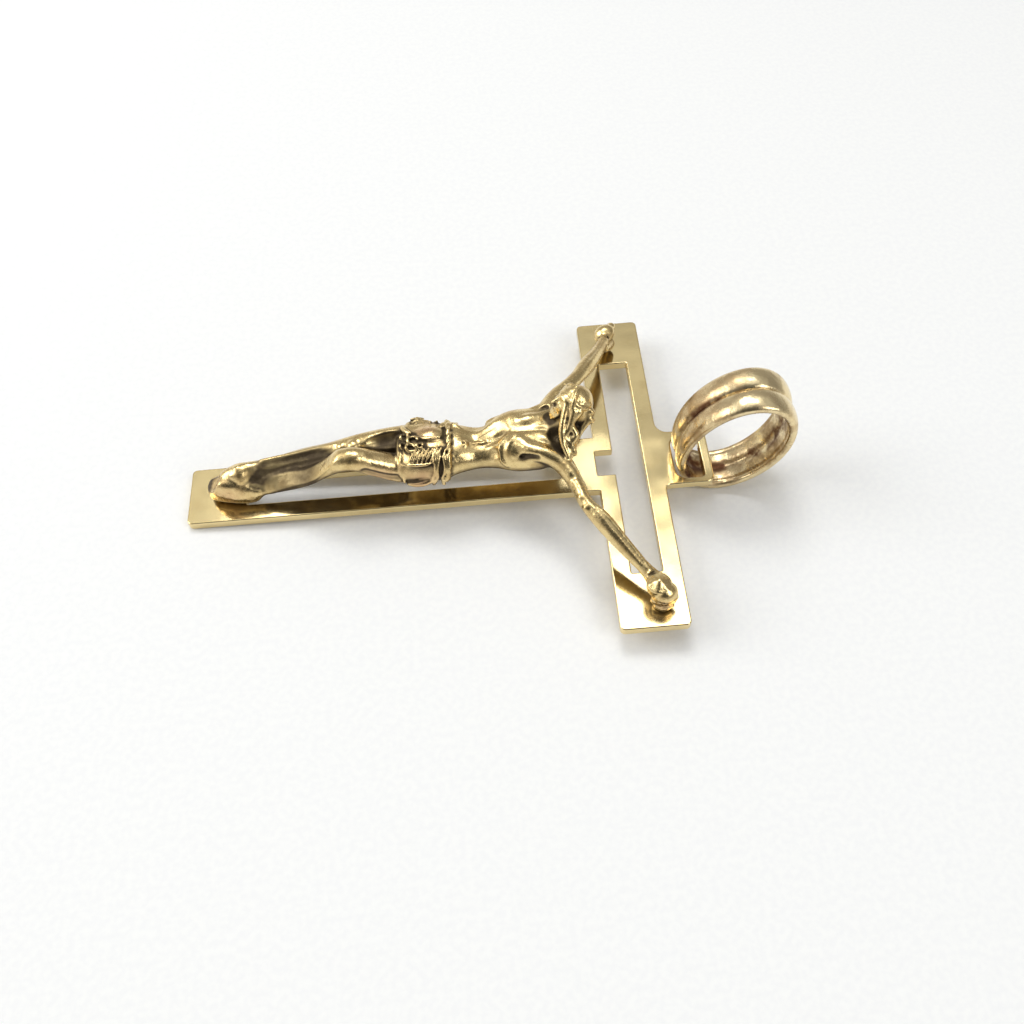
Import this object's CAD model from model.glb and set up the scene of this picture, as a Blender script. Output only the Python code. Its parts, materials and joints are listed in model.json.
# Gold crucifix pendant, lying on its back as it rests by itself.
import json
import bpy
import numpy as np
from mathutils import Matrix, Vector
from mathutils.geometry import tessellate_polygon

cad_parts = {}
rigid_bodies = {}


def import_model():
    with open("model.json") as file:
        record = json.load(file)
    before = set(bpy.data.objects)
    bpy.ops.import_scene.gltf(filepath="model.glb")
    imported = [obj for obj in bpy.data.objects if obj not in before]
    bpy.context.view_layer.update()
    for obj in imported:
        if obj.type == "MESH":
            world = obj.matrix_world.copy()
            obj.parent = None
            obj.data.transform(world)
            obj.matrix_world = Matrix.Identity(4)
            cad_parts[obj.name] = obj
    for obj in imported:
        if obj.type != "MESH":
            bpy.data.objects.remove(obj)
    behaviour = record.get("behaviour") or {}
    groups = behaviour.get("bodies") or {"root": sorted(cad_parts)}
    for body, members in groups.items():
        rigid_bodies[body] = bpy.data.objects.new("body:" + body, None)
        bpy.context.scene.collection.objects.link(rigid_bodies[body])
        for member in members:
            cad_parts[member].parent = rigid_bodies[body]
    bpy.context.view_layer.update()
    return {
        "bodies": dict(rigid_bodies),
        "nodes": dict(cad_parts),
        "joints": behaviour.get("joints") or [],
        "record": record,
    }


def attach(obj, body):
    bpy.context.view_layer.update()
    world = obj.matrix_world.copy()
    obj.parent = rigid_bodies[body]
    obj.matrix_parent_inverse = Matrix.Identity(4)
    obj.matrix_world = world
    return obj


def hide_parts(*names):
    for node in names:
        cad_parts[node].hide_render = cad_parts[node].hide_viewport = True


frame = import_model()

# Setting. The pendant lies face up, foot end and bail down, so the cross slopes
# a little. Its sizes are in millimetres in the cross's own frame: x from foot to
# head, y across, z out of the face. MIDDLE_X is half the length as it lies.
REST_TILT = np.radians(2.65)
SHEET = 0.85
MIDDLE_X = 26.330
MM_PER_METRE = 1000


def laid(points, move=True):
    """From the cross's frame in millimetres to the world in metres, or a direction turned alone."""
    x, y, z = np.asarray(points, float).reshape(-1, 3).T
    c, s = np.cos(REST_TILT), np.sin(REST_TILT)
    up = z + SHEET * move
    return np.stack((x * c - up * s - MIDDLE_X * move, y, x * s + up * c), 1) / (MM_PER_METRE if move else 1)


# The camera: where it stands, where it looks, and its focal length in pixels.
CAMERA_POINT = (27.6026, -51.4090, 73.4264)
AHEAD, RIGHT = (0.008576, 0.539197, -0.842136), (0.996502, -0.074622, -0.037631)
FOCAL_PIXELS, PICTURE_PIXELS, SENSOR_WIDTH = 1007.1, 1024, 36
ahead = Vector(laid(AHEAD, False)[0]).normalized()
right = Vector(laid(RIGHT, False)[0])
right = (right - ahead * right.dot(ahead)).normalized()
above = right.cross(ahead)
view = bpy.data.cameras.new("view")
view.sensor_width = SENSOR_WIDTH
view.lens = FOCAL_PIXELS / PICTURE_PIXELS * SENSOR_WIDTH
view.clip_start = 0.005
camera = bpy.data.objects.new("view", view)
camera.matrix_world = Matrix.Translation(laid(CAMERA_POINT)[0]) @ Matrix((right, above, -ahead)).transposed().to_4x4()
bpy.context.scene.collection.objects.link(camera)
bpy.context.scene.camera = camera
bpy.context.scene.view_settings.view_transform = "Standard"


# Table. A plain pale top under soft studio light: three windows high beyond the
# piece, a panel on either hand, and a pale room with one dark quarter, so that
# the polished metal has something to show.
class Tone:
    """A socket in a material; arithmetic on it adds Math nodes to its tree."""

    def __init__(self, tree, socket):
        self.tree, self.socket = tree, socket

    def node(self, kind, settings=None, out=0, **inputs):
        """A node with its settings, then its sockets by number, as i0, i1 and so on."""
        made = self.tree.nodes.new(kind)
        for name, value in (settings or {}).items():
            if name == "stops":
                ramp = made.color_ramp.elements
                while len(ramp) < len(value):
                    ramp.new(0.5)
                for stop, (place, colour) in zip(ramp, value):
                    stop.position, stop.color = place, (*colour, 1)
            else:
                setattr(made, name, value)
        for name, value in inputs.items():
            socket = made.inputs[int(name[1:])]
            if isinstance(value, Tone):
                self.tree.links.new(value.socket, socket)
            elif isinstance(value, tuple) and socket.type == "RGBA":
                socket.default_value = (*value, 1)
            else:
                socket.default_value = value
        return Tone(self.tree, made.outputs[out])

    def maths(self, work, a, b=0.0, clamp=False):
        return self.node("ShaderNodeMath", {"operation": work, "use_clamp": clamp}, i0=a, i1=b)

    def __add__(self, other): return self.maths("ADD", self, other)
    def __radd__(self, other): return self.maths("ADD", other, self)
    def __sub__(self, other): return self.maths("SUBTRACT", self, other)
    def __rsub__(self, other): return self.maths("SUBTRACT", other, self)
    def __mul__(self, other): return self.maths("MULTIPLY", self, other)
    def __rmul__(self, other): return self.maths("MULTIPLY", other, self)

    def kept(self):
        """The same, kept between 0 and 1."""
        return self.maths("ADD", self, 0.0, True)

    def step(self, low, high):
        """0 below low and 1 above high, smooth between."""
        return self.node("ShaderNodeMapRange", {"interpolation_type": "SMOOTHSTEP"}, i0=self, i1=low, i2=high)

    def blend(self, a, b):
        """Colour a where this is 0 and b where it is 1."""
        return self.node("ShaderNodeMix", {"data_type": "RGBA"}, 2, i0=self, i6=a, i7=b)

    def speckle(self, size, detail=2.0, rough=0.5):
        """Soft noise over a point, its lumps about size metres across."""
        return self.node("ShaderNodeTexNoise", {}, i0=self, i2=1 / size, i3=detail, i4=rough)


def finish_of(name):
    """An empty material: its shader node, and the point on the piece in metres."""
    made = bpy.data.materials.new(name)
    made.use_nodes = True
    tree = made.node_tree
    shader = tree.nodes["Principled BSDF"]
    place = tree.nodes.new("ShaderNodeTexCoord")
    return made, shader, Tone(tree, place.outputs["Object"])


def wire(shader, name, value):
    """A value, a colour or a Tone into one of the shader's sockets."""
    if isinstance(value, Tone):
        value.tree.links.new(value.socket, shader.inputs[name])
    else:
        shader.inputs[name].default_value = (*value, 1) if isinstance(value, tuple) else value


TABLE_HALF, TABLE_TOP = 0.6, -2e-5
table_mesh = bpy.data.meshes.new("table")
table_mesh.from_pydata([(x * TABLE_HALF, y * TABLE_HALF, TABLE_TOP) for x, y in ((-1, -1), (1, -1), (1, 1), (-1, 1))],
                       [], [(0, 1, 2, 3)])
table = bpy.data.objects.new("table", table_mesh)
bpy.context.scene.collection.objects.link(table)
table_top, shader, spot = finish_of("table_top")
nap = spot.speckle(0.0005, 2.0, 0.5)
wire(shader, "Base Color", nap.step(0.3, 0.7).blend((0.87, 0.88, 0.88), (0.90, 0.91, 0.90)))
wire(shader, "Roughness", 0.85)
wire(shader, "Normal", spot.node("ShaderNodeBump", {}, i0=0.2, i1=0.00005, i3=nap))
table_mesh.materials.append(table_top)

room = bpy.data.worlds.new("room")
bpy.context.scene.world = room
room.use_nodes = True
tree = room.node_tree
background = tree.nodes["Background"]
toward = Tone(tree, tree.nodes.new("ShaderNodeTexCoord").outputs["Generated"])
height = toward.node("ShaderNodeSeparateXYZ", {}, 2, i0=toward)
across = toward.node("ShaderNodeSeparateXYZ", {}, 0, i0=toward)
DARK_QUARTER = (0.0, -0.60, 0.80)
facing = toward.node("ShaderNodeVectorMath", {"operation": "DOT_PRODUCT"}, 1, i0=toward, i1=DARK_QUARTER)
SKY = [(0.0, (0.58, 0.57, 0.56)), (0.3, (0.34, 0.33, 0.32)), (0.66, (0.31, 0.30, 0.29)), (0.735, (0.42, 0.42, 0.41)),
       (0.765, (0.66, 0.66, 0.65)), (0.80, (0.43, 0.43, 0.42)), (0.86, (0.52, 0.52, 0.52)), (1.0, (0.95, 0.95, 0.95))]
sky = height.node("ShaderNodeValToRGB", {"stops": SKY}, i0=height)
dim = 1.0 - 0.88 * facing.step(0.70, 0.93)
level = dim * (1.25 - 0.45 * across)
tree.links.new(sky.socket, background.inputs[0])
tree.links.new(level.socket, background.inputs[1])

# Each lamp is a rectangle aimed at the piece: its place, width, height and power.
for name, place, wide, tall, power in (
        ("window", (-0.070, 0.216, 0.446), 0.17, 0.17, 0.56),
        ("window_low", (-0.015, 0.288, 0.409), 0.075, 0.03, 0.025),
        ("window_side", (0.046, 0.190, 0.470), 0.16, 0.11, 0.20),
        ("near_panel", (0.25, -0.20, 0.30), 0.15, 0.25, 0.5),
        ("side_panel", (-0.35, 0.05, 0.25), 0.26, 0.24, 0.75)):
    light = bpy.data.lights.new(name, "AREA")
    light.shape, light.size, light.size_y, light.energy = "RECTANGLE", wide, tall, power
    lamp = bpy.data.objects.new(name, light)
    lamp.location = place
    lamp.rotation_euler = (-Vector(place)).to_track_quat("-Z", "Y").to_euler()
    bpy.context.scene.collection.objects.link(lamp)

# Cross. Flat sheet of yellow gold, pierced by a slot in the post and another
# in the crossbar, with a tab and its eye at the head: all one piece, its
# edges eased and its faces polished to a mirror that waves a little.
POST_L, BAR_L, ARM_W, TAB_L = 42.0, 33.0, 5.8, 4.35


def arc(x, y, r, start, end, steps=7):
    """Points on a part of a circle, from one angle in degrees to another."""
    turn = np.radians(np.linspace(start, end, steps))
    return [(x + r * np.cos(a), y + r * np.sin(a)) for a in turn]


def oblong(x0, x1, half, r, end_r):
    """A round-cornered oblong from x0 to x1, half wide on each side, with its own radius at either end."""
    return (arc(x0 + r, r - half, r, 180, 270) + arc(x1 - end_r, end_r - half, end_r, 270, 360)
            + arc(x1 - end_r, half - end_r, end_r, 0, 90) + arc(x0 + r, half - r, r, 90, 180))


def cross_outline():
    """The sheet's outer edge. The tab meets the bar in a wider curve on its far side than on its near one."""
    near_half, far_half, post_half = -BAR_L / 2, BAR_L / 2, ARM_W / 2
    bar_in, tab_end = POST_L - ARM_W, POST_L + TAB_L
    r, crook, tab_r, far_r, near_r = 0.45, 0.08, 0.7, 1.1, 0.4
    return (arc(r, r - post_half, r, 180, 270) + arc(bar_in - crook, -post_half - crook, crook, 90, 0, 3)
            + arc(bar_in + r, near_half + r, r, 180, 270) + arc(POST_L - r, near_half + r, r, 270, 360)
            + arc(POST_L + near_r, -post_half - near_r, near_r, 180, 90)
            + arc(tab_end - tab_r, tab_r - post_half, tab_r, 270, 360, 9)
            + arc(tab_end - tab_r, post_half - tab_r, tab_r, 0, 90, 9)
            + arc(POST_L + far_r, post_half + far_r, far_r, 270, 180, 11)
            + arc(POST_L - r, far_half - r, r, 0, 90) + arc(bar_in + r, far_half - r, r, 90, 180)
            + arc(bar_in - crook, post_half + crook, crook, 0, -90, 3) + arc(r, post_half - r, r, 90, 180))


def crossbar_slot():
    """The crossbar's slot, with the square notch towards the bridge."""
    inner, step, outer, wide, notch, r = 37.8, 36.2, 40.4, 11.35, 1.3, 0.1
    return (arc(inner + r, r - wide, r, 180, 270, 3) + arc(outer - r, r - wide, r, 270, 360, 3)
            + arc(outer - r, wide - r, r, 0, 90, 3) + arc(inner + r, wide - r, r, 90, 180, 3)
            + arc(inner - r, notch + r, r, 0, -90, 3) + arc(step + r, notch - r, r, 90, 180, 3)
            + arc(step + r, r - notch, r, 180, 270, 3) + arc(inner - r, -notch - r, r, 90, 0, 3))


def sheet_metal(name, loops, ease, back):
    """A flat sheet with rounded edges. ease(x) is the rounding and back(x) the depth of its back."""
    steps = 5
    points, faces, normals = [], [], []
    for level in ("face", "back"):
        sign = 1 if level == "face" else -1
        rims = []
        for loop in loops:
            p = np.array(loop)
            keep = np.linalg.norm(p - np.roll(p, 1, 0), axis=1) > 1e-6
            p = p[keep]
            along = np.roll(p, -1, 0) - p
            out = np.stack((along[:, 1], -along[:, 0]), 1)
            out /= np.linalg.norm(out, axis=1)[:, None]
            before = np.roll(out, 1, 0)
            corner = (out + before) / (1 + (out * before).sum(1))[:, None]
            r = ease(p[:, 0])
            depth = np.zeros(len(p)) if sign > 0 else back(p[:, 0])
            rings = []
            for i in range(steps + 1):
                a = np.pi / 2 * i / steps
                inset = p - corner * (r * (1 - np.cos(a)))[:, None]
                start = len(points)
                z = depth - sign * r * (1 - np.sin(a))
                points.extend(np.column_stack((inset, z)))
                unit = corner / np.linalg.norm(corner, axis=1)[:, None]
                normals.extend(np.column_stack((unit * np.cos(a), np.full(len(p), sign * np.sin(a)))))
                rings.append(np.arange(start, start + len(p)))
            for low, high in zip(rings, rings[1:]):
                for i in range(len(p)):
                    j = (i + 1) % len(p)
                    quad = (low[i], low[j], high[j], high[i])
                    faces.append(quad if sign > 0 else quad[::-1])
            rims.append((rings[0], rings[-1]))
        if level == "face":
            walls = [rim[0] for rim in rims]
        else:
            for top, rim in zip(walls, rims):
                bottom = rim[0]
                for i in range(len(top)):
                    j = (i + 1) % len(top)
                    faces.append((bottom[i], bottom[j], top[j], top[i]))
        edge = [rim[1] for rim in rims]
        ids = np.concatenate(edge)
        fill = tessellate_polygon([[Vector((*points[i][:2], 0)) for i in e] for e in edge])
        for a, b, c in fill:
            tri = [ids[a], ids[b], ids[c]]
            (ax, ay), (bx, by), (cx, cy) = (points[i][:2] for i in tri)
            turn = (bx - ax) * (cy - ay) - (by - ay) * (cx - ax)
            faces.append(tuple(tri if (turn > 0) == (sign > 0) else tri[::-1]))
    mesh = bpy.data.meshes.new(name)
    mesh.from_pydata(laid(points).tolist(), [], [tuple(int(i) for i in f) for f in faces])
    mesh.shade_smooth()
    mesh.normals_split_custom_set_from_vertices(laid(normals, False).tolist())
    made = bpy.data.objects.new(name, mesh)
    bpy.context.scene.collection.objects.link(made)
    return made


def tab_part(x):
    """0 on the cross and 1 on the tab, which is a little thinner and rounder."""
    return np.clip((x - POST_L) / 0.6, 0, 1)


post_slot = oblong(5.15, 33.0, 1.3, 0.12, 0.12)
eye = oblong(43.05, 45.5, 2.3, 1.0, 0.3)
plate = sheet_metal("cross_plate", [cross_outline(), post_slot[::-1], crossbar_slot()[::-1], eye[::-1]],
                    lambda x: 0.12 + 0.05 * tab_part(x), lambda x: -SHEET + 0.1 * tab_part(x))

mirror_gold, shader, spot = finish_of("mirror_gold")
sweep = spot.speckle(0.006, 2.0)
bloom = spot.speckle(0.0022, 4.0, 0.6)
wire(shader, "Metallic", 1.0)
wire(shader, "Base Color", bloom.step(0.45, 0.75).blend((0.83, 0.665, 0.345), (0.76, 0.595, 0.295)))
wire(shader, "Roughness", 0.10 + 0.16 * sweep.step(0.45, 0.75))
waves = spot.node("ShaderNodeBump", {}, i0=0.35, i1=0.00006, i3=spot.speckle(0.0028, 1.0))
wire(shader, "Normal", spot.node("ShaderNodeBump", {}, i0=0.3, i1=0.000004, i3=spot.speckle(0.00025, 2.0), i4=waves))
plate.data.materials.append(mirror_gold)
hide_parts("cross")
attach(plate, "cross")

# Corpus. A cast figure of yellow gold, seated on the cross's face by both hands
# and the near foot, wiped bright but dark in its hollows. It is built as wax is:
# lumps are added and blended, then folds, ribs and hair are scored in.
# A strand is worked out within MARGIN of its skin, and beyond that counts as FAR_OFF.
WAX_STEP, MARGIN, FAR_OFF = 0.1, 1.3, 4.0
WAX_LOW, WAX_HIGH = np.array((1.6, -16.2, -0.3)), np.array((41.4, 16.2, 9.9))


class Wax:
    """Distance to the figure's surface at the points of a grid, negative inside."""

    def __init__(self, low, high, step):
        self.low, self.step = low, step
        self.count = np.ceil((high - low) / step).astype(int) + 1
        self.gap = np.full(self.count, FAR_OFF, np.float32)
        self.axes = [low[i] + step * np.arange(self.count[i]) for i in range(3)]

    def part(self, low, high):
        """The grid's part between two corners: its place in the grid, and x, y and z there."""
        start = [max(0, int((low[i] - self.low[i]) / self.step)) for i in range(3)]
        stop = [min(self.count[i], int((high[i] - self.low[i]) / self.step) + 2) for i in range(3)]
        piece = tuple(slice(a, max(a, b)) for a, b in zip(start, stop))
        x, y, z = (self.axes[i][piece[i]] for i in range(3))
        return piece, x[:, None, None], y[None, :, None], z[None, None, :]

    def add(self, form, low, high, blend):
        """Add a form, run into the rest over about the blend's width."""
        piece, x, y, z = self.part(low, high)
        new, old = form(x, y, z), self.gap[piece]
        h = np.clip(0.5 + 0.5 * (old - new) / blend, 0, 1)
        self.gap[piece] = old * (1 - h) + new * h - blend * h * (1 - h)

    def cut(self, form, low, high, blend):
        """Take a form away."""
        piece, x, y, z = self.part(low, high)
        new, old = -form(x, y, z), self.gap[piece]
        h = np.clip(0.5 + 0.5 * (new - old) / blend, 0, 1)
        self.gap[piece] = old * (1 - h) + new * h + blend * h * (1 - h)

    def at(self, points):
        """The distance at any points, worked out between the grid's."""
        q = (points - self.low) / self.step
        base = np.clip(np.floor(q).astype(int), 0, self.count - 2)
        f = np.clip(q - base, 0, 1)
        total = 0
        for i in (0, 1):
            for j in (0, 1):
                for k in (0, 1):
                    share = abs(1 - i - f[:, 0]) * abs(1 - j - f[:, 1]) * abs(1 - k - f[:, 2])
                    total = total + share * self.gap[base[:, 0] + i, base[:, 1] + j, base[:, 2] + k]
        return total


def eased(rows, times=4):
    """More rows between each two, on a smooth curve through them."""
    rows = np.asarray(rows, float)
    padded = np.vstack([2 * rows[0] - rows[1], rows, 2 * rows[-1] - rows[-2]])
    out = []
    for a, b, c, d in zip(padded, padded[1:], padded[2:], padded[3:]):
        for t in np.arange(times) / times:
            out.append(0.5 * (2 * b + (c - a) * t + (2 * a - 5 * b + 4 * c - d) * t * t
                              + (3 * b - a - 3 * c + d) * t ** 3))
    return np.array(out + [rows[-1]])


def strand(rows, times=4):
    """Distance to a round limb, fold or lock through rows of x, y, z, radius."""
    rows = eased(rows, times) if times > 1 else np.asarray(rows, float)

    def form(x, y, z):
        best = np.full(np.broadcast(x, y, z).shape, FAR_OFF, np.float32)
        for a, b in zip(rows, rows[1:]):
            reach = max(a[3], b[3]) + MARGIN
            low, high = np.minimum(a, b)[:3] - reach, np.maximum(a, b)[:3] + reach
            piece = tuple(slice(*np.searchsorted(v.ravel(), (lo, hi))) for v, lo, hi in zip((x, y, z), low, high))
            px, py, pz = x[piece[0]], y[:, piece[1]], z[:, :, piece[2]]
            d = b[:3] - a[:3]
            t = np.clip(((px - a[0]) * d[0] + (py - a[1]) * d[1] + (pz - a[2]) * d[2]) / (d @ d), 0, 1)
            gap = np.sqrt((px - a[0] - t * d[0]) ** 2 + (py - a[1] - t * d[1]) ** 2
                          + (pz - a[2] - t * d[2]) ** 2) - (a[3] + (b[3] - a[3]) * t)
            best[piece] = np.minimum(best[piece], gap)
        return best

    r = rows[:, 3].max() + MARGIN
    return form, rows[:, :3].min(0) - r, rows[:, :3].max(0) + r


def turned(degrees):
    """Rotation about x, then y, then z."""
    a, b, c = np.radians(degrees)
    rx = np.array(((1, 0, 0), (0, np.cos(a), -np.sin(a)), (0, np.sin(a), np.cos(a))))
    ry = np.array(((np.cos(b), 0, np.sin(b)), (0, 1, 0), (-np.sin(b), 0, np.cos(b))))
    rz = np.array(((np.cos(c), -np.sin(c), 0), (np.sin(c), np.cos(c), 0), (0, 0, 1)))
    return rz @ ry @ rx


def pod(centre, size, turn=(0, 0, 0), frame=np.eye(3)):
    """Distance to an egg-shaped lump."""
    m, r, c = frame @ turned(turn), np.array(size, float), np.array(centre, float)

    def form(x, y, z):
        dx, dy, dz = x - c[0], y - c[1], z - c[2]
        u = [(m[0, i] * dx + m[1, i] * dy + m[2, i] * dz) / r[i] for i in range(3)]
        k0 = np.sqrt(u[0] ** 2 + u[1] ** 2 + u[2] ** 2)
        k1 = np.sqrt(sum((u[i] / r[i]) ** 2 for i in range(3)))
        return k0 * (k0 - 1) / np.maximum(k1, 1e-6)

    reach = r.max() + 1.0
    return form, c - reach, c + reach


def barrel(rows, square):
    """Distance to a trunk lofted along x through rows of x, y, z, half width, half depth. Square 2 is an oval."""
    rows = eased(rows, 6)

    def form(x, y, z):
        at = np.clip(x, rows[0, 0], rows[-1, 0])
        cy, cz, a, b = (np.interp(at, rows[:, 0], rows[:, i]) for i in (1, 2, 3, 4))
        u, w = np.abs(y - cy) / a, np.abs(z - cz) / b
        k0 = (u ** square + w ** square + 1e-9) ** (1 / square)
        gap = (k0 - 1) * np.minimum(a, b) * np.sqrt((u * u + w * w) / ((u * b / a) ** 2 + w * w + 1e-9)) ** 0.5
        past = np.abs(x - at)
        return np.where(past > 0, np.sqrt(np.maximum(gap + 0.4, 0) ** 2 + past ** 2) - 0.4, gap)

    wide = rows[:, 3].max() + 1
    low = (rows[0, 0] - 1.2, -wide, (rows[:, 2] - rows[:, 4]).min() - 0.8)
    return form, np.array(low), np.array((rows[-1, 0] + 1.2, wide, (rows[:, 2] + rows[:, 4]).max() + 0.8))


wax = Wax(WAX_LOW, WAX_HIGH, WAX_STEP)


def ridge(rows, blend, times=4):
    """Lay a round strand of wax along rows of x, y, z, radius."""
    wax.add(*strand(rows, times), blend)


def score(rows, blend, times=4):
    """Score a furrow along rows of x, y, z, radius."""
    wax.cut(*strand(rows, times), blend)


def lump(centre, size, blend, turn=(0, 0, 0)):
    """Add an egg-shaped lump."""
    wax.add(*pod(centre, size, turn), blend)


def scoop(centre, size, blend, turn=(0, 0, 0)):
    """Scoop out an egg-shaped hollow."""
    wax.cut(*pod(centre, size, turn), blend)


# Trunk: hips, narrow waist and a high arched chest.
wax.add(*barrel([
    (19.4, 0, 3.9, 2.1, 1.2), (21.2, 0, 3.75, 2.5, 1.5), (22.9, 0, 3.7, 2.6, 1.65),
    (24.3, 0, 3.85, 2.25, 1.5), (26.0, 0, 3.75, 1.95, 1.2), (27.6, 0, 3.95, 2.2, 1.45),
    (29.4, 0, 4.2, 2.7, 1.75), (31.2, 0, 4.4, 2.95, 1.7), (32.6, 0, 4.6, 2.5, 1.2)], 2.2), 0.3)
for side in (-1, 1):
    lump((29.3, 0.95 * side, 4.45), (2.6, 1.85, 1.72), 0.35, (0, -4, 8 * side))
# Hollow of the belly below the arch of the ribs.
scoop((26.4, 0, 6.0), (1.9, 1.1, 0.95), 0.6, (0, 8, 0))

# Legs, with the near knee raised.
NEAR_LEG = [(21.5, -1.3, 3.5, 1.4), (19.2, -1.3, 3.6, 1.22), (17.0, -1.3, 4.6, 1.08), (15.2, -1.3, 5.4, 0.93),
            (13.2, -1.25, 4.6, 0.82), (11.0, -1.2, 3.45, 0.92), (8.5, -1.05, 2.25, 0.7), (6.5, -0.9, 1.5, 0.6)]
FAR_LEG = [(21.5, 1.3, 3.9, 1.4), (19.2, 1.3, 4.1, 1.2), (17.0, 1.25, 4.0, 1.08), (15.2, 1.2, 3.8, 0.95),
           (13.2, 1.15, 3.3, 0.88), (11.0, 1.05, 2.85, 0.95), (8.5, 0.75, 2.75, 0.75), (6.3, 0.35, 2.8, 0.68)]
ridge(NEAR_LEG, 0.25)
ridge(FAR_LEG, 0.25)

# Arms, reaching up and down to the crossbar.
NEAR_ARM = [(31.8, -1.9, 4.8, 0.95), (33.0, -3.2, 4.65, 0.82), (33.9, -5.3, 4.5, 0.64), (34.4, -6.9, 4.35, 0.6),
            (35.6, -8.5, 3.9, 0.76), (37.0, -10.3, 3.1, 0.66), (38.6, -12.3, 2.3, 0.5)]
FAR_ARM = [(31.8, 2.0, 4.8, 1.0), (33.0, 3.9, 4.7, 0.85), (34.0, 5.1, 4.55, 0.68), (35.1, 6.4, 4.3, 0.64),
           (36.2, 8.2, 3.7, 0.76), (37.2, 10.0, 3.0, 0.64), (38.2, 12.1, 2.2, 0.5)]
ridge(NEAR_ARM, 0.35)
ridge(FAR_ARM, 0.35)

# Chest: breast muscles, the arch of the ribs and the ribs on each flank.
ridge([(29.4, -1.2, 5.7, 0.55), (30.2, -1.95, 5.5, 0.74), (31.5, -2.45, 5.4, 0.75), (32.6, -3.1, 5.1, 0.7),
       (33.4, -4.2, 4.85, 0.6)], 0.25)
ridge([(29.4, 0.7, 5.75, 0.45), (30.4, 0.9, 5.75, 0.6), (31.5, 1.3, 5.5, 0.6), (32.6, 2.9, 5.0, 0.6)], 0.3)
ridge([(29.9, 1.9, 5.5, 0.22), (31.0, 2.45, 5.35, 0.26), (32.1, 3.0, 5.25, 0.25), (33.2, 4.0, 5.1, 0.22)], 0.1)
score([(30.1, 1.55, 6.25, 0.12), (31.0, 1.85, 6.1, 0.28), (31.9, 2.15, 5.85, 0.3)], 0.15)
for rib in range(2):
    x = 27.95 + 0.72 * rib
    ridge([(x + 0.25, -0.75, 5.65 + 0.1 * rib, 0.2), (x + 0.1, -1.35, 5.5 + 0.1 * rib, 0.28), (x, -1.85, 5.0, 0.3),
           (x + 0.1, -2.15, 4.3, 0.27), (x + 0.3, -2.2, 3.6, 0.16)], 0.14)
ridge([(26.0, 0.5, 4.5, 0.42), (27.0, 0.9, 4.75, 0.6), (28.2, 1.15, 5.05, 0.8), (29.2, 1.25, 5.2, 0.82)], 0.4)
ridge([(26.2, -0.15, 4.5, 0.35), (27.0, 0.1, 4.75, 0.45), (27.9, 0.35, 5.1, 0.55), (28.6, 0.5, 5.35, 0.55)], 0.35)
for rib in range(6):
    y = 0.05 + 0.31 * rib
    ridge([(26.1 + 0.1 * rib, y, 4.95 - 0.04 * rib, 0.07), (27.0, y + 0.32, 5.2 - 0.05 * rib, 0.11),
           (28.2, y + 0.62, 5.65 - 0.1 * rib, 0.12), (29.0, y + 0.7, 5.85 - 0.1 * rib, 0.08)], 0.12)
ridge([(28.3, -0.7, 5.88, 0.12), (27.75, -1.55, 5.62, 0.17), (27.8, -2.32, 4.92, 0.17), (28.25, -2.6, 4.4, 0.12)], 0.1)
ridge([(29.25, -0.6, 6.12, 0.12), (28.65, -1.35, 5.98, 0.17), (28.35, -2.02, 5.38, 0.17), (28.5, -2.5, 4.6, 0.12)], 0.1)
score([(28.9, -2.3, 5.0, 0.04), (29.3, -2.28, 5.1, 0.06), (29.7, -2.38, 5.33, 0.07), (30.15, -2.56, 5.55, 0.07),
       (30.8, -2.87, 5.63, 0.05)], 0.5)
score([(28.8, -0.3, 6.2, 0.12), (30.2, -0.35, 6.3, 0.2), (31.6, -0.3, 6.15, 0.2)], 0.18)
scoop((26.75, -1.85, 5.1), (0.9, 0.65, 0.42), 0.35, (20, 0, 0))
# Belly: its beaded middle line, the navel, and the long curve down to the far hip.
for bead in range(11):
    x = 25.0 + 0.33 * bead
    lump((x, -0.42 + 0.05 * (bead % 2), 4.86 + 0.03 * abs(bead - 3) + 0.05 * max(0, bead - 6)), (0.22, 0.16, 0.2), 0.06)
score([(25.2, -0.72, 5.2, 0.06), (26.4, -0.7, 5.05, 0.1), (27.6, -0.75, 5.4, 0.08)], 0.12)
lump((24.75, -0.45, 5.1), (0.4, 0.4, 0.25), 0.08)
scoop((24.75, -0.45, 5.38), (0.16, 0.2, 0.2), 0.06)
ridge([(23.9, 1.75, 5.05, 0.16), (24.5, 1.3, 5.0, 0.17), (25.3, 0.6, 4.78, 0.17), (26.2, 0.5, 4.72, 0.16),
       (27.1, 1.3, 4.9, 0.16), (27.8, 2.0, 4.85, 0.14)], 0.08)
scoop((25.9, 1.45, 5.05), (0.9, 0.6, 0.35), 0.15, (-24, 0, 0))
score([(24.2, -2.0, 4.9, 0.1), (24.9, -1.75, 5.0, 0.14), (25.6, -1.6, 4.75, 0.1)], 0.25)
# Collarbones, the plate of the breastbone and the deep hollow below the beard.
ridge([(32.3, 0.6, 5.6, 0.2), (32.8, 1.7, 5.5, 0.24), (33.1, 2.9, 5.3, 0.25)], 0.15)
lump((32.75, 2.95, 5.05), (0.65, 0.6, 0.42), 0.3)
lump((31.5, -1.25, 5.75), (0.85, 0.55, 0.3), 0.05, (18, 6, -25))
scoop((32.6, -0.75, 6.25), (0.75, 1.0, 0.85), 0.12, (0, 0, -25))
score([(30.6, -1.75, 6.4, 0.06), (31.6, -1.95, 6.2, 0.09), (32.8, -2.5, 5.85, 0.1)], 0.08)
for grain in range(7):
    lump((32.2 + 0.13 * grain, -0.3 - 0.27 * grain + 0.35 * (grain % 3), 5.42 + 0.1 * (grain % 2)),
         (0.17, 0.14, 0.16), 0.06)

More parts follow.
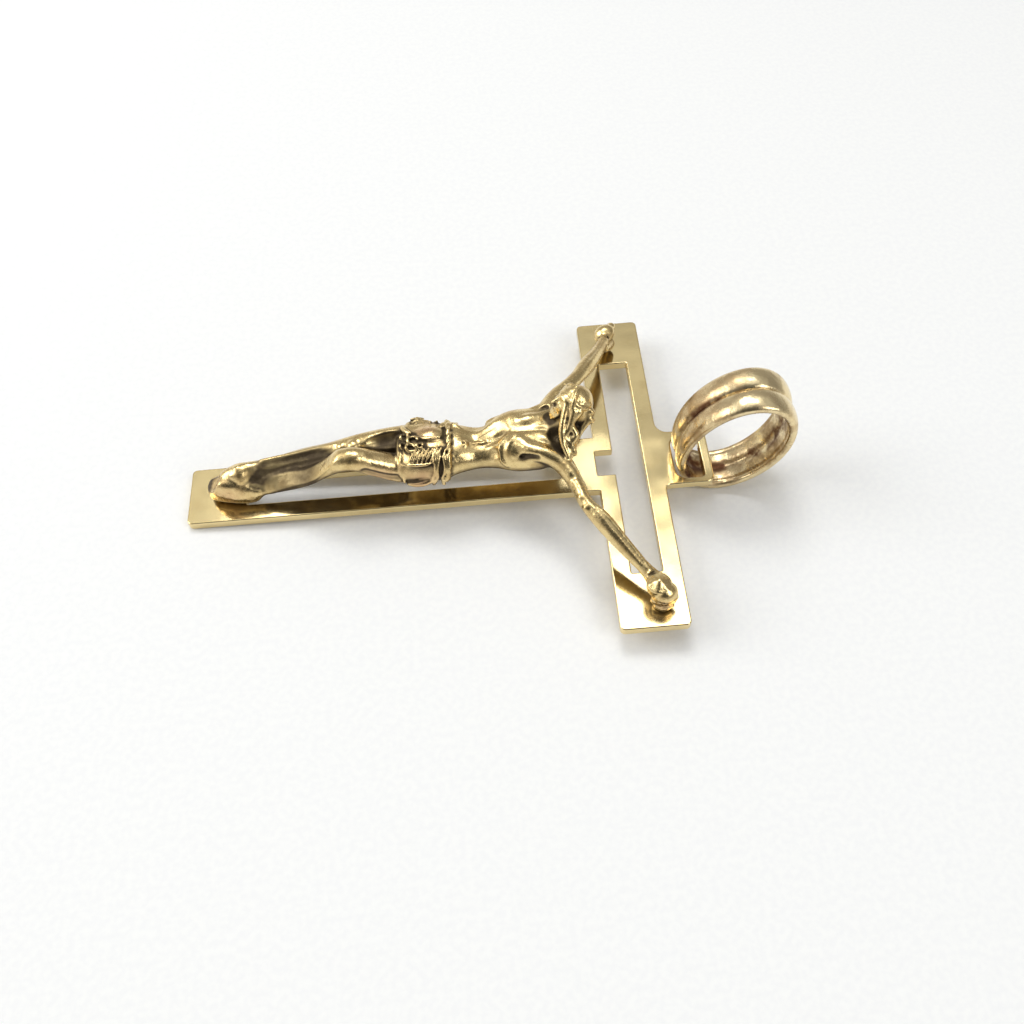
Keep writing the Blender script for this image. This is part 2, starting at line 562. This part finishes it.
# Knees, shins and thighs.
lump((14.7, -1.35, 5.55), (1.7, 0.65, 0.5), 0.8)
lump((15.3, 0.75, 4.55), (0.6, 0.6, 0.42), 0.12)
lump((14.3, 0.95, 4.25), (0.5, 0.45, 0.35), 0.1)
ridge([(14.4, -1.3, 5.6, 0.25), (12.2, -1.0, 4.5, 0.52), (9.5, -0.65, 3.0, 0.6), (7.4, -0.55, 2.3, 0.5)], 0.45)
ridge([(14.2, 1.25, 4.2, 0.2), (12.0, 1.2, 3.85, 0.22), (9.4, 1.0, 3.5, 0.22), (7.2, 0.75, 3.4, 0.2)], 0.25)
score([(20.2, -2.5, 3.6, 0.2), (18.2, -2.5, 4.0, 0.2), (16.4, -2.35, 4.9, 0.15)], 0.5)


def web(x, y, z):
    """The casting's web between the shins and thighs, sunk between them."""
    near, far = np.array(NEAR_LEG)[::-1], np.array(FAR_LEG)[::-1]
    yn, zn = np.interp(x, near[:, 0], near[:, 1]), np.interp(x, near[:, 0], near[:, 2])
    yf, zf = np.interp(x, far[:, 0], far[:, 1]), np.interp(x, far[:, 0], far[:, 2])
    t = np.clip((y - yn) / (yf - yn), 0, 1)
    sag = np.interp(x, (6, 9, 14, 16, 19), (0.1, 0.15, 0.5, 0.75, 0.5))
    middle = zn + (zf - zn) * t - sag * np.sin(np.pi * t)
    beyond = np.maximum(np.maximum(yn - y, y - yf), np.maximum(6.4 - x, x - 20.5))
    return np.maximum((np.abs(z - middle) - 0.36) * 0.75, beyond)


wax.add(web, (5.5, -2, 0.5), (21, 2, 6.5), 0.3)


def flank(x, y, z):
    """All above the flat side that the near shin turns to the viewer."""
    near, far = np.array(NEAR_LEG)[::-1], np.array(FAR_LEG)[::-1]
    yn, zn, rn = (np.interp(x, near[:, 0], near[:, i]) for i in (1, 2, 3))
    yf, zf, rf = (np.interp(x, far[:, 0], far[:, i]) for i in (1, 2, 3))
    low, high = zn - 0.3 * rn, zf + 0.8 * rf
    slope = (high - low) / (yf - 0.5 - yn + 0.8 * rn)
    above = (z - low - slope * (y - yn + 0.8 * rn)) / np.sqrt(1 + slope ** 2)
    return np.maximum(np.maximum(0.14 * np.maximum(x - 10.6, 0) ** 2 - above, y - yf + 0.35), 6.0 - x)


wax.cut(flank, (5.5, -3.2, 0.5), (15.5, 1.2, 6.8), 0.5)
score([(7.4, 0.3, 3.5, 0.14), (9.0, 0.5, 3.55, 0.18), (11.0, 0.62, 3.8, 0.2), (12.6, 0.6, 4.1, 0.22),
       (13.8, 0.4, 4.5, 0.2), (14.6, 0.05, 4.95, 0.14)], 0.2)
for x, y, z in ((9.1, -0.5, 2.7), (9.5, -0.25, 2.9), (9.9, -0.45, 2.85), (10.2, -0.1, 3.05)):
    lump((x, y, z), (0.25, 0.17, 0.12), 0.12)
score([(15.9, 0.25, 5.2, 0.25), (17.1, 0.5, 5.1, 0.58), (18.4, 0.6, 5.2, 0.76), (19.5, 0.45, 5.45, 0.78)], 0.15)

# Feet, the far one over the near, run together into one blunt lump.
ridge([(6.5, -0.9, 1.5, 0.62), (5.9, -0.95, 0.8, 0.62), (4.2, -0.75, 0.85, 0.72), (2.75, -0.5, 0.8, 0.62)], 0.3)
ridge([(6.3, 0.35, 2.8, 0.68), (5.3, 0.25, 2.75, 0.8), (4.2, 0.05, 2.35, 0.82), (3.0, -0.1, 1.7, 0.62)], 0.3)
lump((4.3, -0.5, 1.8), (1.9, 0.85, 1.15), 0.3, (25, 12, 0))
lump((6.2, -0.3, 1.75), (1.0, 0.7, 0.6), 0.35)
for x, y, z, r in ((5.1, 0.15, 3.45, 0.32), (5.9, 0.45, 3.4, 0.26), (4.6, -0.35, 3.1, 0.28), (5.3, -0.75, 2.7, 0.24)):
    lump((x, y, z), (r, 0.8 * r, 0.7 * r), 0.12)
lump((5.2, 0.0, 2.55), (1.05, 0.95, 1.0), 0.2)
lump((3.9, -0.45, 1.35), (1.7, 1.0, 1.2), 0.2, (0, 14, 0))
lump((5.3, -0.85, 1.35), (1.5, 0.75, 0.95), 0.35, (0, -10, 8))
scoop((0.72, 0.1, 3.95), (3.0, 3.0, 3.0), 0.1)
ridge([(2.75, 0.1, 0.95, 0.9), (3.6, 0.35, 1.05, 0.95), (4.7, 0.5, 1.4, 0.9), (5.8, 0.5, 2.0, 0.7)], 0.22)
for toe in range(4):
    score([(1.85, 0.72 - 0.36 * toe, 0.6, 0.06), (1.95, 0.68 - 0.34 * toe, 1.3, 0.1),
           (2.5, 0.66 - 0.34 * toe, 1.95, 0.08), (3.1, 0.8 - 0.34 * toe, 2.1, 0.05)], 0.14, 2)
for crease in range(2):
    score([(5.9 + 0.45 * crease, -1.0, 2.2 - 0.1 * crease, 0.03),
           (6.6 + 0.45 * crease, -1.25, 2.0 - 0.1 * crease, 0.06), (7.2 + 0.5 * crease, -1.45, 1.9, 0.03)], 0.08)

# Arms: the muscles, and the furrow that runs down to each wrist.
for side, arm in ((-1, NEAR_ARM), (1, FAR_ARM)):
    (x1, y1, z1), (x2, y2, z2), (x3, y3, z3) = (arm[i][:3] for i in (2, 4, 6))
    ridge([(x1 - 0.1, y1, z1 + 0.45, 0.25), (arm[3][0], arm[3][1], arm[3][2] + 0.4, 0.22),
           (x2 + 0.25, y2, z2 + 0.5, 0.28), (x3 + 0.1, y3, z3 + 0.3, 0.18)], 0.25)
    score([(arm[3][0] + 0.15, arm[3][1], arm[3][2] + 0.72, 0.06), (x2 + 0.1, y2, z2 + 0.85, 0.1),
           (arm[5][0] + 0.1, arm[5][1], arm[5][2] + 0.74, 0.1), (x3 - 0.05, y3, z3 + 0.55, 0.06)], 0.14)
for x, y, z, r in ((34.0, -6.6, 4.75, 0.3), (34.35, -7.5, 4.55, 0.34), (35.0, -8.3, 4.3, 0.28)):
    lump((x, y, z), (r, r, r), 0.12)

# Near hand: a palm on a foot of metal that reaches the cross's face, its
# fingers curled down into it, and over it the faceted head of the nail.
ridge([(*NEAR_ARM[6][:3], 0.5), (39.3, -13.2, 1.95, 0.72), (39.75, -14.1, 1.5, 0.9)], 0.2)
lump((39.95, -14.35, 1.75), (1.05, 0.95, 0.85), 0.15, (0, 0, 20))
ridge([(39.65, -14.4, 1.2, 0.62), (39.7, -14.5, 0.0, 0.6)], 0.15, 1)
ridge([(39.3, -14.85, 0.6, 0.3), (39.85, -15.0, 0.6, 0.4), (40.4, -14.85, 0.6, 0.34)], 0.06)
ridge([(39.1, -14.6, 1.1, 0.34), (39.8, -14.85, 1.25, 0.42), (40.5, -14.7, 1.15, 0.38)], 0.06)
ridge([(40.45, -14.3, 2.0, 0.3), (40.75, -14.6, 1.4, 0.3)], 0.08)
ridge([(38.9, -12.9, 2.6, 0.2), (38.75, -13.7, 2.3, 0.22), (39.0, -14.5, 1.9, 0.22)], 0.08)
score([(39.0, -14.95, 1.6, 0.06), (39.8, -15.15, 1.65, 0.08), (40.5, -14.95, 1.6, 0.06)], 0.06)


def nail(x, y, z):
    """The nail's head: six flats sloping to a small top."""
    u, v, w = x - 39.5, y + 13.85, z - 2.4
    flats = [0.5 * (np.cos(a) * u + np.sin(a) * v) + 0.87 * w - 0.62 for a in np.radians(np.arange(-20, 340, 60))]
    return np.maximum(np.maximum.reduce(np.broadcast_arrays(*flats)), np.maximum(w - 0.66, np.hypot(u, v) - 1.0))


scoop((39.5, -13.85, 2.6), (1.1, 1.1, 0.28), 0.06)
wax.add(nail, (38.2, -15.2, 1.8), (40.8, -12.5, 3.6), 0.05)

# Far hand: closed to a fist on its own foot of metal.
ridge([(*FAR_ARM[6][:3], 0.5), (38.5, 13.0, 1.9, 0.62), (38.6, 13.5, 1.7, 0.8)], 0.2)
lump((38.5, 13.45, 1.95), (1.02, 0.85, 0.75), 0.1, (0, -12, 20))
lump((39.2, 14.2, 2.0), (0.45, 0.42, 0.4), 0.2)
ridge([(38.7, 13.9, 1.2, 0.6), (38.7, 13.95, 0.0, 0.55)], 0.15, 1)
ridge([(38.4, 11.6, 1.9, 0.35), (38.8, 12.4, 1.3, 0.42), (39.0, 13.1, 0.9, 0.5)], 0.12)
ridge([(38.3, 12.0, 1.5, 0.4), (38.5, 12.9, 0.8, 0.5), (38.7, 13.4, 0.4, 0.5)], 0.15)
score([(37.5, 12.85, 1.95, 0.08), (38.2, 12.55, 2.4, 0.1), (39.0, 12.65, 2.25, 0.1), (39.5, 13.1, 1.8, 0.08)], 0.08)

# Loincloth: a wrap with a crisp hem, held by a twisted cord.
wax.add(*barrel([(19.4, -0.35, 3.9, 2.2, 1.35), (20.2, -0.2, 3.9, 2.5, 1.66), (21.2, 0, 3.8, 2.7, 1.76),
                 (22.4, 0, 3.75, 2.7, 1.76), (23.2, 0, 3.75, 2.5, 1.6), (23.7, 0, 3.75, 2.2, 1.35)], 2.2), 0.08)
turns = np.radians(np.arange(0, 361, 9))
for twist in (0, np.pi):
    ridge([(23.25 + 0.28 * np.sin(a) + 0.12 * np.cos(11 * a + twist),
            (2.68 + 0.12 * np.sin(11 * a + twist)) * np.cos(a),
            3.8 + (1.76 + 0.12 * np.sin(11 * a + twist)) * np.sin(a), 0.16) for a in turns], 0.04, 2)
# Smooth panel over the far thigh, its rolled edge, and the knot's curls.
lump((21.85, 0.65, 5.25), (1.35, 0.95, 0.55), 0.2, (-14, 0, 0))
ridge([(20.9, 0.15, 5.6, 0.16), (21.7, -0.05, 5.68, 0.17), (22.8, 0.1, 5.6, 0.13)], 0.06)
score([(22.9, -0.3, 5.95, 0.1), (21.7, -0.42, 5.95, 0.15), (20.9, -0.3, 5.95, 0.12)], 0.08)
ridge([(20.3, 0.5, 5.95, 0.2), (19.9, 0.9, 5.75, 0.24), (19.6, 1.6, 5.35, 0.22), (19.5, 2.2, 4.7, 0.16)], 0.08)
for x, y, z, size in ((20.5, -0.2, 5.85, 0.42), (19.8, 0.25, 5.7, 0.3), (20.3, -0.85, 5.7, 0.36),
                      (19.7, -0.5, 5.55, 0.26), (21.1, -0.75, 5.75, 0.26)):
    ridge([(x + size * np.cos(a), y + size * np.sin(a), z + 0.1 * np.cos(2 * a), 0.15)
           for a in np.radians(np.arange(0, 330, 30))], 0.04, 2)
# Pleats drawn up to the near hip, and the loose end that hangs there.
for pleat in range(7):
    x = 20.45 + 0.36 * pleat
    ridge([(x - 0.4, -2.1, 5.1, 0.08), (x - 0.1, -1.65, 5.42, 0.15), (x + 0.3, -1.05, 5.62, 0.12)], 0.03)
    score([(x - 0.2, -2.1, 5.25, 0.05), (x + 0.1, -1.65, 5.52, 0.07), (x + 0.45, -1.1, 5.68, 0.05)], 0.05)
ridge([(19.5, -2.1, 5.0, 0.1), (20.4, -2.25, 5.1, 0.14), (21.4, -2.3, 5.1, 0.14), (22.0, -2.2, 5.15, 0.1)], 0.05)
for fold in range(4):
    x = 23.35 - 0.4 * fold
    sway, end = 0.18 * np.sin(2.3 * fold), 3.1 + 0.25 * np.cos(2.7 * fold)
    ridge([(x + 0.25, -1.25 + 0.1 * fold, 5.5, 0.1), (x + 0.1, -1.8, 5.35, 0.17), (x + sway, -2.5, 4.65, 0.2),
           (x - 0.2, -2.8, 3.9, 0.17), (x - 0.3 + sway, -2.8, end, 0.19)], 0.06)
    score([(x - 0.08, -1.5, 5.6, 0.04), (x - 0.14, -2.0, 5.3, 0.06), (x - 0.22 + 0.6 * sway, -2.68, 4.5, 0.08),
           (x - 0.42, -2.95, 3.8, 0.08), (x - 0.5 + sway, -2.95, 3.1, 0.06)], 0.06)
ridge([(21.9, -2.72, 3.5, 0.2), (21.2, -2.85, 3.3, 0.3), (20.4, -2.8, 3.15, 0.26), (19.8, -2.6, 3.05, 0.2)], 0.15)
ridge([(19.45, -0.9, 5.3, 0.1), (19.4, -1.6, 5.05, 0.13), (19.45, -2.3, 4.35, 0.13), (19.5, -2.65, 3.3, 0.12)], 0.06)
# Twisted roll over the far hip, and the knot that stands out from it.
for roll in range(5):
    x = 22.95 + 0.24 * roll
    ridge([(x - 0.3, 1.2 + 0.06 * roll, 5.42 - 0.05 * roll, 0.09), (x + 0.05, 1.75, 5.2 - 0.06 * roll, 0.15),
           (x + 0.35, 2.3, 4.65 - 0.06 * roll, 0.12)], 0.04)
ridge([(20.0, 2.45, 4.75, 0.13), (20.7, 2.6, 4.7, 0.17), (21.4, 2.65, 4.65, 0.16), (22.0, 2.55, 4.6, 0.13)], 0.08)
ridge([(20.3, 2.7, 4.95, 0.11), (20.8, 2.9, 4.85, 0.12), (21.4, 2.95, 4.6, 0.11)], 0.06)
lump((20.8, 2.35, 4.45), (1.1, 0.45, 0.4), 0.15)
for fold in range(5):
    x = 20.0 + 0.6 * fold
    ridge([(x + 0.2, 2.2, 5.1, 0.1), (x - 0.05, 2.6, 4.3, 0.14), (x - 0.1, 2.7, 3.2, 0.12)], 0.1)

# Neck, and the head bowed on it towards the far shoulder. The face is a
# plain one of its own. In the head's frame x runs to the crown, z out of the face.
ridge([(32.0, 0.1, 4.7, 1.05), (33.1, 0.5, 5.8, 0.85), (33.7, 0.7, 6.8, 0.9)], 0.35)
HEAD, NOD = np.array((33.95, 0.95, 7.4)), turned((-14, -54, 18))


def on_head(x, y, z):
    """From the head's frame to the cross's."""
    return tuple(HEAD + NOD @ np.array((x, y, z)))


def feature(place, size, turn=(0, 0, 0)):
    """An egg-shaped lump on the head."""
    return pod(on_head(*place), size, turn, NOD)


def lock(rows, times=4):
    """A strand through rows of x, y, z, radius on the head."""
    return strand([(*on_head(x, y, z), r) for x, y, z, r in rows], times)


wax.add(*feature((0.3, 0, 0.0), (1.6, 1.25, 1.4)), 0.2)
wax.add(*feature((-0.35, 0, 0.45), (1.0, 0.92, 0.85)), 0.3)
wax.add(*feature((-1.25, 0, 0.75), (0.45, 0.45, 0.42)), 0.3)
wax.add(*lock([(0.55, -0.6, 1.12, 0.17), (0.6, 0, 1.32, 0.17), (0.55, 0.6, 1.12, 0.17)]), 0.15)
wax.add(*lock([(0.45, 0, 1.35, 0.12), (0.0, 0, 1.5, 0.13), (-0.35, 0, 1.62, 0.17)]), 0.12)
for side in (-1, 1):
    wax.cut(*feature((0.2, 0.42 * side, 1.45), (0.2, 0.27, 0.22)), 0.12)
    wax.add(*feature((0.16, 0.42 * side, 1.16), (0.14, 0.22, 0.12)), 0.05)
    wax.add(*feature((-0.25, 0.55 * side, 1.0), (0.32, 0.28, 0.25)), 0.2)
    wax.add(*lock([(-0.6, 0.1 * side, 1.35, 0.09), (-0.75, 0.35 * side, 1.25, 0.08), (-0.95, 0.5 * side, 1.1, 0.06)]),
            0.08)
wax.add(*feature((-0.78, 0, 1.22), (0.09, 0.26, 0.12)), 0.06)
wax.cut(*feature((-0.7, 0, 1.36), (0.04, 0.28, 0.08)), 0.05)
# Short parted beard.
for strip in range(7):
    y = -0.66 + 0.22 * strip
    wax.add(*lock([(-0.85, y, 1.05 - 0.5 * y * y, 0.13), (-1.3, 0.8 * y, 1.1 - 0.5 * y * y, 0.14),
                   (-1.8, 0.45 * y, 0.95, 0.08)]), 0.06)
# Hair, parted in the middle and combed back in strands.
wax.add(*feature((0.4, 0, -0.3), (1.5, 1.36, 1.34)), 0.1)
for side in (-1, 1):
    for k in range(6):
        wax.add(*lock([(1.75 - 0.12 * k, 0.12 * side, 0.55 - 0.36 * k, 0.12),
                       (1.4 - 0.1 * k, 0.78 * side, 0.72 - 0.38 * k, 0.17),
                       (0.55, 1.24 * side, 0.6 - 0.3 * k, 0.2), (-0.5, 1.34 * side, 0.35 - 0.25 * k, 0.22),
                       (-1.35 + 0.1 * k, 1.14 * side + 0.06 * (k % 2), 0.15 - 0.22 * k, 0.14)]), 0.04)
# A low band about the brow, with knobs behind the near ear.
turns = np.radians(np.arange(0, 361, 12))
for twist in (0, np.pi):
    wax.add(*lock([(0.95 + 0.08 * np.cos(6 * a + twist), (1.3 + 0.05 * np.sin(6 * a + twist)) * np.sin(a),
                    -0.15 + (1.3 + 0.05 * np.sin(6 * a + twist)) * np.cos(a), 0.11) for a in turns], 2), 0.08)
for x, y, z, r in ((35.35, 0.45, 8.0, 0.3), (35.5, -0.05, 7.5, 0.34), (35.45, -0.45, 6.95, 0.36)):
    lump((x, y, z), (r, r, r), 0.1)
# Long locks that cross and fall to the near shoulder, with deep gaps between them.
for rows in (
        [(33.56, 0.35, 8.35), (33.22, -0.55, 7.75), (32.97, -1.4, 7.1), (32.97, -2.1, 6.5), (33.15, -2.7, 6.0),
         (33.36, -3.15, 5.5)],
        [(34.5, -0.3, 8.0), (33.75, -0.95, 7.3), (34.1, -1.7, 6.7), (33.55, -2.25, 6.2), (33.4, -2.95, 5.6)],
        [(35.25, 0.15, 7.6), (35.15, -0.5, 6.95), (34.6, -1.05, 6.5), (34.15, -1.65, 6.15), (33.8, -2.4, 5.85),
         (33.45, -3.1, 5.4)],
        [(34.06, -0.3, 8.15), (33.64, -1.15, 7.25), (33.2, -1.8, 6.65), (33.7, -2.3, 6.15), (33.9, -2.75, 5.6)]):
    ridge([(*row, 0.34 - 0.025 * k) for k, row in enumerate(rows)], 0.06)
ridge([(33.9, 0.0, 6.6, 0.5), (33.7, -1.1, 6.0, 0.42), (33.5, -2.2, 5.3, 0.4)], 0.15)
lump((33.65, -1.65, 6.45), (0.42, 0.5, 0.34), 0.1)
ridge([(34.4, 0.2, 5.9, 0.5), (34.2, -0.4, 5.6, 0.5), (33.9, -1.0, 5.5, 0.45), (33.6, -1.7, 5.3, 0.4)], 0.15)

# The sheet's face bounds the casting, which seats on it with a hair's clearance.
SEAT_GAP = 0.02
wax.gap = np.maximum(wax.gap, (SEAT_GAP - wax.axes[2]).astype(np.float32)[None, None, :])


def skin(wax):
    """The wax's surface as points and quads: one point in each cell that it passes through."""
    inside = wax.gap < 0
    cells = tuple(c - 1 for c in inside.shape)
    corners = [(i, j, k) for i in (0, 1) for j in (0, 1) for k in (0, 1)]
    full = sum(inside[i:cells[0] + i, j:cells[1] + j, k:cells[2] + k].astype(np.uint8) for i, j, k in corners)
    where = np.array(np.nonzero((full > 0) & (full < 8)))
    number = np.full(cells, -1, np.int64)
    number[tuple(where)] = np.arange(where.shape[1])
    total, crossings = np.zeros((where.shape[1], 3)), np.zeros(where.shape[1])
    for a in corners:
        for b in corners:
            if sum(b) - sum(a) == 1 and all(q >= p for p, q in zip(a, b)):
                ga = wax.gap[tuple(where + np.array(a)[:, None])].astype(float)
                gb = wax.gap[tuple(where + np.array(b)[:, None])].astype(float)
                cross = (ga < 0) != (gb < 0)
                share = np.where(cross, ga / np.where(cross, ga - gb, 1), 0)
                total += (np.array(a) + share[:, None] * (np.array(b) - np.array(a))) * cross[:, None]
                crossings += cross
    points = (total / crossings[:, None] + where.T) * wax.step + wax.low
    quads = []
    for axis in range(3):
        lower, upper = [slice(None)] * 3, [slice(None)] * 3
        lower[axis], upper[axis] = slice(0, -1), slice(1, None)
        first, second = inside[tuple(lower)], inside[tuple(upper)]
        one, two = (axis + 1) % 3, (axis + 2) % 3
        at = np.array(np.nonzero(first != second))
        at = at[:, (at[one] > 0) & (at[two] > 0) & (at[one] < cells[one]) & (at[two] < cells[two])]
        outward = first[tuple(at)]
        ring = []
        for d1, d2 in ((1, 1), (0, 1), (0, 0), (1, 0)):
            cell = at.copy()
            cell[one] -= d1
            cell[two] -= d2
            ring.append(number[tuple(cell)])
        quad = np.stack(ring, 1)
        quad[~outward] = quad[~outward][:, ::-1]
        quads.append(quad)
    return points, np.concatenate(quads)


def largest(points, quads):
    """The one surface with the most points, without the small pockets that close up inside the metal."""
    part = np.arange(len(points))
    while True:
        joined = part.copy()
        np.minimum.at(joined, quads.ravel(), np.repeat(part[quads].min(1), 4))
        joined = joined[joined]
        if (joined == part).all():
            break
        part = joined
    keep = part == np.bincount(part).argmax()
    return points[keep], (np.cumsum(keep) - 1)[quads[keep[quads[:, 0]]]]


points, quads = largest(*skin(wax))
# Two light smoothings take the grid's steps off the skin.
for _ in range(2):
    pull, share = np.zeros_like(points), np.zeros(len(points))
    for corner in range(4):
        here, there = quads[:, corner], quads[:, (corner + 1) % 4]
        for one, other in ((here, there), (there, here)):
            for axis in range(3):
                pull[:, axis] += np.bincount(one, points[other, axis], len(points))
            share += np.bincount(one, minlength=len(points))
    points = 0.55 * points + 0.45 * pull / share[:, None]
mesh = bpy.data.meshes.new("cast_figure")
mesh.from_pydata(laid(points).tolist(), [], quads.tolist())
mesh.shade_smooth()
# How deep each point lies among its neighbours, where the casting stays dark.
out = np.zeros(len(points) * 3, np.float32)
mesh.vertices.foreach_get("normal", out)
c, s = np.cos(REST_TILT), np.sin(REST_TILT)
nx, ny, nz = out.reshape(-1, 3).T
out = np.stack((nx * c + nz * s, ny, nz * c - nx * s), 1)
shade = np.zeros(len(points))
for reach, weight in ((0.2, 0.3), (0.45, 0.4), (0.8, 0.3)):
    shade += weight * np.clip(1 - wax.at(points + out * reach) / reach, 0, 1)
# The back of the casting and the metal between the shins were never wiped bright,
# nor were the spots below: x, y, z, radius and how dark.
shade += 0.55 * np.clip(0.1 - out[:, 2], 0, 0.6) + 0.16 * np.exp(-((points[:, 0] - 10.5) / 3) ** 2)
for x, y, z, r, much in ((18.3, 0.5, 4.6, 1.3, 0.45), (32.6, -0.8, 5.5, 1.0, 0.55), (34.2, -1.2, 6.0, 0.7, 0.3),
                         (12.6, 0.5, 3.8, 1.2, 0.15), (6.9, -0.2, 2.8, 0.9, 0.4), (2.0, 0.2, 1.4, 1.0, 0.5),
                         (8.4, -1.0, 2.6, 1.5, 0.16), (11.0, -1.2, 3.4, 1.9, 0.21)):
    shade += much * np.exp(-((points - (x, y, z)) ** 2).sum(1) / r ** 2)
# Spots where the gold has a redder bloom: x, y, z and radius.
red = np.zeros(len(points))
for x, y, z, r in ((21.7, 0.7, 5.6, 1.1), (21.0, -2.7, 3.6, 1.3), (39.8, -15.1, 1.2, 0.7), (3.9, -0.9, 1.2, 1.4),
                   (17.5, -2.4, 4.0, 1.4)):
    red += np.exp(-((points - (x, y, z)) ** 2).sum(1) / r ** 2)
mesh.attributes.new("redder", "FLOAT", "POINT").data.foreach_set("value", red.astype(np.float32))
mesh.attributes.new("hollow", "FLOAT", "POINT").data.foreach_set("value", shade.astype(np.float32))
figure = bpy.data.objects.new("cast_figure", mesh)
bpy.context.scene.collection.objects.link(figure)

cast_gold, shader, spot = finish_of("cast_gold")
hollow = spot.node("ShaderNodeAttribute", {"attribute_name": "hollow"}, 2)
cloud = spot.speckle(0.0012, 4.0, 0.6)
grain = spot.speckle(0.00022, 3.0, 0.65)
lumps = spot.speckle(0.0006, 2.0, 0.55)
dark = (hollow.step(0.12, 0.46) * (0.75 + 0.5 * cloud)).kept()
redder = spot.node("ShaderNodeAttribute", {"attribute_name": "redder"}, 2)
skin_tone = cloud.step(0.38, 0.68).blend((0.80, 0.62, 0.30), (0.62, 0.45, 0.20))
skin_tone = (redder * (0.4 + 0.8 * cloud)).kept().blend(skin_tone, (0.68, 0.44, 0.24))
wire(shader, "Metallic", 1.0 - 0.35 * dark)
wire(shader, "Base Color", dark.blend(skin_tone, (0.075, 0.052, 0.026)))
wire(shader, "Roughness", (0.21 + 0.14 * cloud.step(0.4, 0.8) + 0.10 * grain.step(0.5, 0.7) + 0.30 * dark).kept())
pitted = spot.node("ShaderNodeBump", {}, i0=0.5, i1=0.000022, i3=grain)
wire(shader, "Normal", spot.node("ShaderNodeBump", {}, i0=0.5, i1=0.00008, i3=lumps, i4=pitted))
mesh.materials.append(cast_gold)
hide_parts("corpus")
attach(figure, "cross")

# Bail. A loose oval ring of half-round double wire in yellow gold, bent
# round, soldered shut and threaded through the eye. Polished outside, with
# old tarnish left in the groove between its two ridges.
BAIL_A, BAIL_B, LEAN, RING_X = 4.25, 5.75, np.radians(23.0), 47.975
RIDGE, INSIDE = 0.5, 0.42
BAND_OUT, BAND_EYE, EYE_SIDE = 4.6, 3.85, np.radians(-99)
# The ring's middle stands so high that its lowest point touches the table.
upright = LEAN - REST_TILT
RING_Z = ((np.hypot((BAIL_A + RIDGE) * np.sin(upright), (BAIL_B + RIDGE) * np.cos(upright))
           - RING_X * np.sin(REST_TILT)) / np.cos(REST_TILT) - SHEET)


def band_section():
    """Across the band from its near lip, over both ridges and back inside: place across and height."""
    rows = []
    for mid in (-0.5, 0.5):
        for a in np.radians(np.linspace(180, 0, 15)):
            rows.append((mid + 0.5 * np.cos(a), 0.1 * RIDGE + 0.9 * RIDGE * np.sin(a)))
        if mid < 0:
            rows.pop()
    for u in np.linspace(1, -1, 37):
        lip = 0.55 + 0.45 * np.clip((1 - abs(u)) / 0.16, 0, 1) ** 0.5
        seam, lip_groove = 0.42 * np.exp(-(u / 0.22) ** 2), 0.16 * np.exp(-((abs(u) - 0.78) / 0.07) ** 2)
        rows.append((0.995 * u, -INSIDE * lip * (1 - seam - lip_groove)))
    return np.array(rows)


section = band_section()
stations = np.radians(np.arange(0, 360, 2.25))
points, groove, dull = [], [], []
for a in stations:
    width = (BAND_OUT + BAND_EYE) / 2 - (BAND_OUT - BAND_EYE) / 2 * np.cos(a - EYE_SIDE)
    for u, v in section:
        p, q = (BAIL_A + v) * np.cos(a), (BAIL_B + v) * np.sin(a)
        points.append((RING_X + p * np.cos(LEAN) + q * np.sin(LEAN), u * width / 2,
                       RING_Z - p * np.sin(LEAN) + q * np.cos(LEAN)))
        old = 0.55 + 0.6 * np.exp(-((np.degrees(a) - 168) / 26) ** 2)
        eye_side = np.exp(-((np.degrees(a) - 228) / 24) ** 2)
        inside = 0.6 + 0.35 * np.exp(-(u / 0.3) ** 2) + 0.6 * eye_side
        groove.append(old * np.exp(-(u / 0.24) ** 2) if v > 0 else inside)
        dull.append(0.45 * np.exp(-((np.degrees(a) - 172) / 42) ** 2) if v > 0 else 0.15 + 0.3 * eye_side)
n, m = len(stations), len(section)
faces = [(i * m + j, i * m + (j + 1) % m, (i + 1) % n * m + (j + 1) % m, (i + 1) % n * m + j)
         for i in range(n) for j in range(m)]
mesh = bpy.data.meshes.new("bail_ring")
mesh.from_pydata(laid(points).tolist(), [], faces)
mesh.shade_smooth()
mesh.attributes.new("groove", "FLOAT", "POINT").data.foreach_set("value", np.array(groove, np.float32))
mesh.attributes.new("dull", "FLOAT", "POINT").data.foreach_set("value", np.array(dull, np.float32))
bail_ring = bpy.data.objects.new("bail_ring", mesh)
bpy.context.scene.collection.objects.link(bail_ring)

bail_gold, shader, spot = finish_of("bail_gold")
depth = spot.node("ShaderNodeAttribute", {"attribute_name": "groove"}, 2)
patch = spot.speckle(0.0016, 4.0, 0.65)
stain = (depth.step(0.35, 0.95) * patch.step(0.33, 0.6)).kept()
dull = spot.node("ShaderNodeAttribute", {"attribute_name": "dull"}, 2)
worn = (patch + 0.5 * dull).step(0.40, 0.84).blend((0.88, 0.72, 0.42), (0.50, 0.35, 0.18))
wire(shader, "Metallic", 1.0)
wire(shader, "Base Color", stain.blend(worn, (0.15, 0.07, 0.035)))
wire(shader, "Roughness", 0.21 + 0.2 * patch.step(0.4, 0.75) + 0.25 * stain)
waves = spot.node("ShaderNodeBump", {}, i0=0.75, i1=0.00014, i3=spot.speckle(0.0016, 3.0, 0.5))
wire(shader, "Normal", spot.node("ShaderNodeBump", {}, i0=0.4, i1=0.000006, i3=spot.speckle(0.0003, 3.0), i4=waves))
mesh.materials.append(bail_gold)
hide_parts("bail")
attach(bail_ring, "bail")
